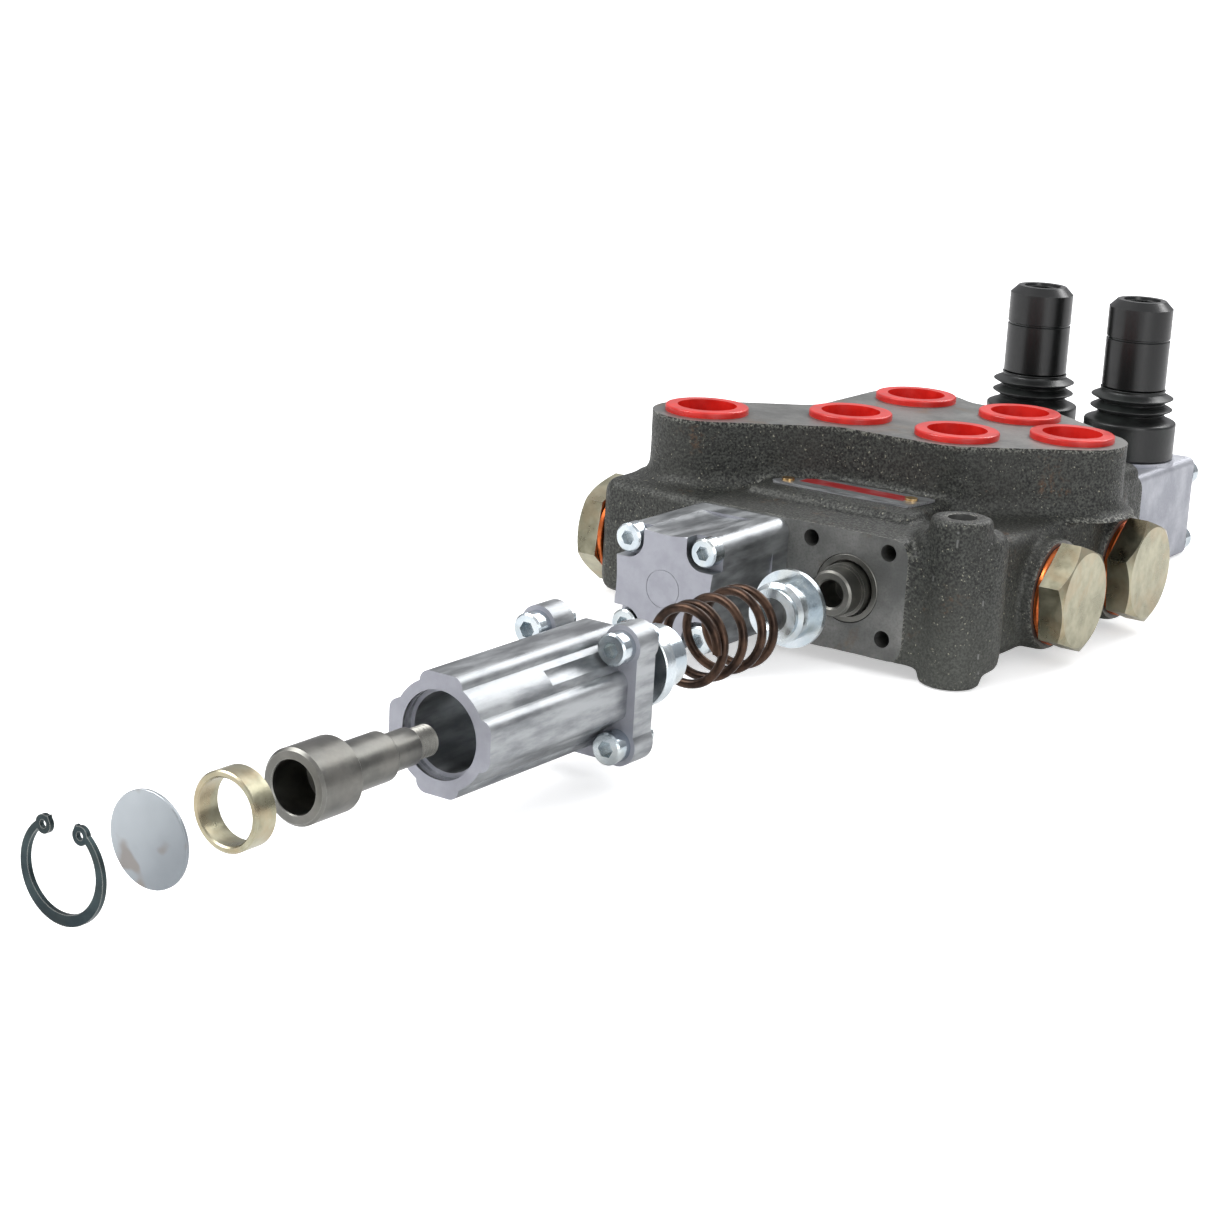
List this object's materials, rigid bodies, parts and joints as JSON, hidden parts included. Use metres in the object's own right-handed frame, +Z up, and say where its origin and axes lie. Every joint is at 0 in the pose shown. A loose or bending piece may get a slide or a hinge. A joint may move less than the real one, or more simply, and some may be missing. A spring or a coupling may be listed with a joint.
{
  "type": "hydraulic monoblock valve",
  "caption": "Cast monoblock spool valve with two levers, plugged ports on top, one fitted end cap and one spring pack drawn out along its spool.",
  "frame": {"origin": "on the axis of the front mounting bolt hole, level with the two spools' axes", "axes": "+Z up out of the port face, +Y along the spools towards the levers, +X across the spools"},
  "size_m": [0.1573, 0.537, 0.0915],
  "materials": {
    "cast_body": "sand-cast grey iron, thinly oiled",
    "aluminium_plate": "thin anodised plate with a plain red band",
    "brass_rivet": "brass rivet",
    "red_plastic": "moulded transit plug",
    "ground_steel": "ground and hardened steel",
    "seal_rubber": "nitrile seal",
    "zinc_steel": "bright zinc-plated steel",
    "spring_steel": "bronze-brown tempered spring wire",
    "diecast": "polished die-cast aluminium",
    "yellow_zinc": "yellow passivated zinc plate",
    "black_steel": "blackened spring steel",
    "copper": "soft copper sealing washer",
    "box_aluminium": "sand-blasted cast aluminium",
    "boot_rubber": "moulded black rubber",
    "black_plastic": "black phenolic sleeve"
  },
  "bodies": {
    "root": {"valve_body": "cast_body", "nameplate": "aluminium_plate", "nameplate_rivets": "brass_rivet", "front_seal_rings": "ground_steel", "rear_seal_rings": "ground_steel", "front_orings": "seal_rubber", "rear_orings": "seal_rubber", "inner_seat_1": "zinc_steel", "outer_seat_1": "zinc_steel", "spring_1": "spring_steel", "short_end_cap": "diecast", "short_cap_screws": "zinc_steel", "relief_plug": "yellow_zinc", "check_plug": "yellow_zinc", "tank_plug": "yellow_zinc", "copper_washers": "copper", "relief_spring": "spring_steel", "check_spring": "spring_steel", "lever_box_1": "box_aluminium", "lever_box_2": "box_aluminium", "lever_box_screws": "zinc_steel", "lever_pivot_pins": "ground_steel", "lever_boot_1": "boot_rubber", "lever_boot_2": "boot_rubber"},
    "spool_1_body": {"spool_1": "ground_steel", "shoulder_bolt_1": "ground_steel"},
    "spool_2_body": {"spool_2": "ground_steel"},
    "lever_1_body": {"lever_1": "ground_steel", "lever_sleeve_1": "black_plastic"},
    "lever_2_body": {"lever_2": "ground_steel", "lever_sleeve_2": "black_plastic"},
    "long_cap_body": {"long_end_cap": "diecast", "long_cap_screws": "zinc_steel"},
    "inner_seat_body": {"inner_spring_seat": "zinc_steel"},
    "spring_body": {"centring_spring": "spring_steel"},
    "outer_seat_body": {"outer_spring_seat": "zinc_steel"},
    "stem_body": {"detent_stem": "ground_steel"},
    "stop_ring_body": {"stop_ring": "yellow_zinc"},
    "cover_disc_body": {"cover_disc": "zinc_steel"},
    "circlip_body": {"circlip": "black_steel"},
    "relief_poppet_body": {"relief_poppet": "ground_steel"},
    "check_poppet_body": {"check_poppet": "ground_steel"},
    "plug_t_body": {"port_plug_t": "red_plastic"},
    "plug_a1_body": {"port_plug_a1": "red_plastic"},
    "plug_b1_body": {"port_plug_b1": "red_plastic"},
    "plug_a2_body": {"port_plug_a2": "red_plastic"},
    "plug_b2_body": {"port_plug_b2": "red_plastic"},
    "plug_p_body": {"port_plug_p": "red_plastic"}
  },
  "joints": [
    {"name": "lever_1_swing", "type": "hinge", "parent": "root", "child": "lever_1_body", "pos_m": [-0.0696, 0.1859, -0.017], "axis": [-1, 0, 0], "range_deg": [-17.11, 17.11], "deforming": ["lever_boot_1"]},
    {"name": "spool_1_stroke", "type": "slide", "parent": "root", "child": "spool_1_body", "axis": [0, 1, 0], "range_m": [-0.00502, 0.00502]},
    {"name": "lever_2_swing", "type": "hinge", "parent": "root", "child": "lever_2_body", "pos_m": [-0.0316, 0.1859, -0.017], "axis": [-1, 0, 0], "range_deg": [-17.11, 17.11], "deforming": ["lever_boot_2"]},
    {"name": "spool_2_stroke", "type": "slide", "parent": "root", "child": "spool_2_body", "axis": [0, 1, 0], "range_m": [-0.00502, 0.00502]},
    {"name": "kit_close", "type": "slide", "parent": "root", "child": "long_cap_body", "axis": [0, 1, 0], "range_m": [0, 0.1288]},
    {"name": "inner_seat_fit", "type": "slide", "parent": "root", "child": "inner_seat_body", "axis": [0, 1, 0], "range_m": [0, 0.03081]},
    {"name": "spring_fit", "type": "slide", "parent": "root", "child": "spring_body", "axis": [0, 1, 0], "range_m": [0, 0.05431], "deforming": ["centring_spring"]},
    {"name": "outer_seat_fit", "type": "slide", "parent": "spool_2_body", "child": "outer_seat_body", "axis": [0, 1, 0], "range_m": [0, 0.08131]},
    {"name": "stem_fit", "type": "slide", "parent": "spool_2_body", "child": "stem_body", "axis": [0, 1, 0], "range_m": [0, 0.19626]},
    {"name": "stop_ring_fit", "type": "slide", "parent": "root", "child": "stop_ring_body", "axis": [0, 1, 0], "range_m": [0, 0.20701]},
    {"name": "cover_disc_fit", "type": "slide", "parent": "root", "child": "cover_disc_body", "axis": [0, 1, 0], "range_m": [0, 0.22941]},
    {"name": "circlip_fit", "type": "slide", "parent": "root", "child": "circlip_body", "axis": [0, 1, 0], "range_m": [0, 0.25301], "deforming": ["circlip"]},
    {"name": "plug_t_lift", "type": "slide", "parent": "root", "child": "plug_t_body", "axis": [0, 0, 1], "range_m": [0, 0.045]},
    {"name": "plug_a1_lift", "type": "slide", "parent": "root", "child": "plug_a1_body", "axis": [0, 0, 1], "range_m": [0, 0.045]},
    {"name": "plug_b1_lift", "type": "slide", "parent": "root", "child": "plug_b1_body", "axis": [0, 0, 1], "range_m": [0, 0.045]},
    {"name": "plug_a2_lift", "type": "slide", "parent": "root", "child": "plug_a2_body", "axis": [0, 0, 1], "range_m": [0, 0.045]},
    {"name": "plug_b2_lift", "type": "slide", "parent": "root", "child": "plug_b2_body", "axis": [0, 0, 1], "range_m": [0, 0.045]},
    {"name": "plug_p_lift", "type": "slide", "parent": "root", "child": "plug_p_body", "axis": [0, 0, 1], "range_m": [0, 0.045]},
    {"name": "relief_poppet_lift", "type": "slide", "parent": "root", "child": "relief_poppet_body", "axis": [1, 0, 0], "range_m": [0, 0.0015], "deforming": ["relief_spring"]},
    {"name": "check_poppet_lift", "type": "slide", "parent": "root", "child": "check_poppet_body", "axis": [1, 0, 0], "range_m": [0, 0.003], "deforming": ["check_spring"]}
  ],
  "couplings": [
    {"joint": "spool_1_stroke", "follows": "lever_1_swing", "m_per_rad": 0.016749},
    {"joint": "spool_2_stroke", "follows": "lever_2_swing", "m_per_rad": 0.016749},
    {"joint": "inner_seat_fit", "follows": "kit_close", "ratio": 0.23913},
    {"joint": "spring_fit", "follows": "kit_close", "ratio": 0.42158},
    {"joint": "outer_seat_fit", "follows": "kit_close", "ratio": 0.63121},
    {"joint": "stem_fit", "follows": "kit_close", "ratio": 1.5237},
    {"joint": "stop_ring_fit", "follows": "kit_close", "ratio": 1.6071},
    {"joint": "cover_disc_fit", "follows": "kit_close", "ratio": 1.7811},
    {"joint": "circlip_fit", "follows": "kit_close", "ratio": 1.9643}
  ]
}
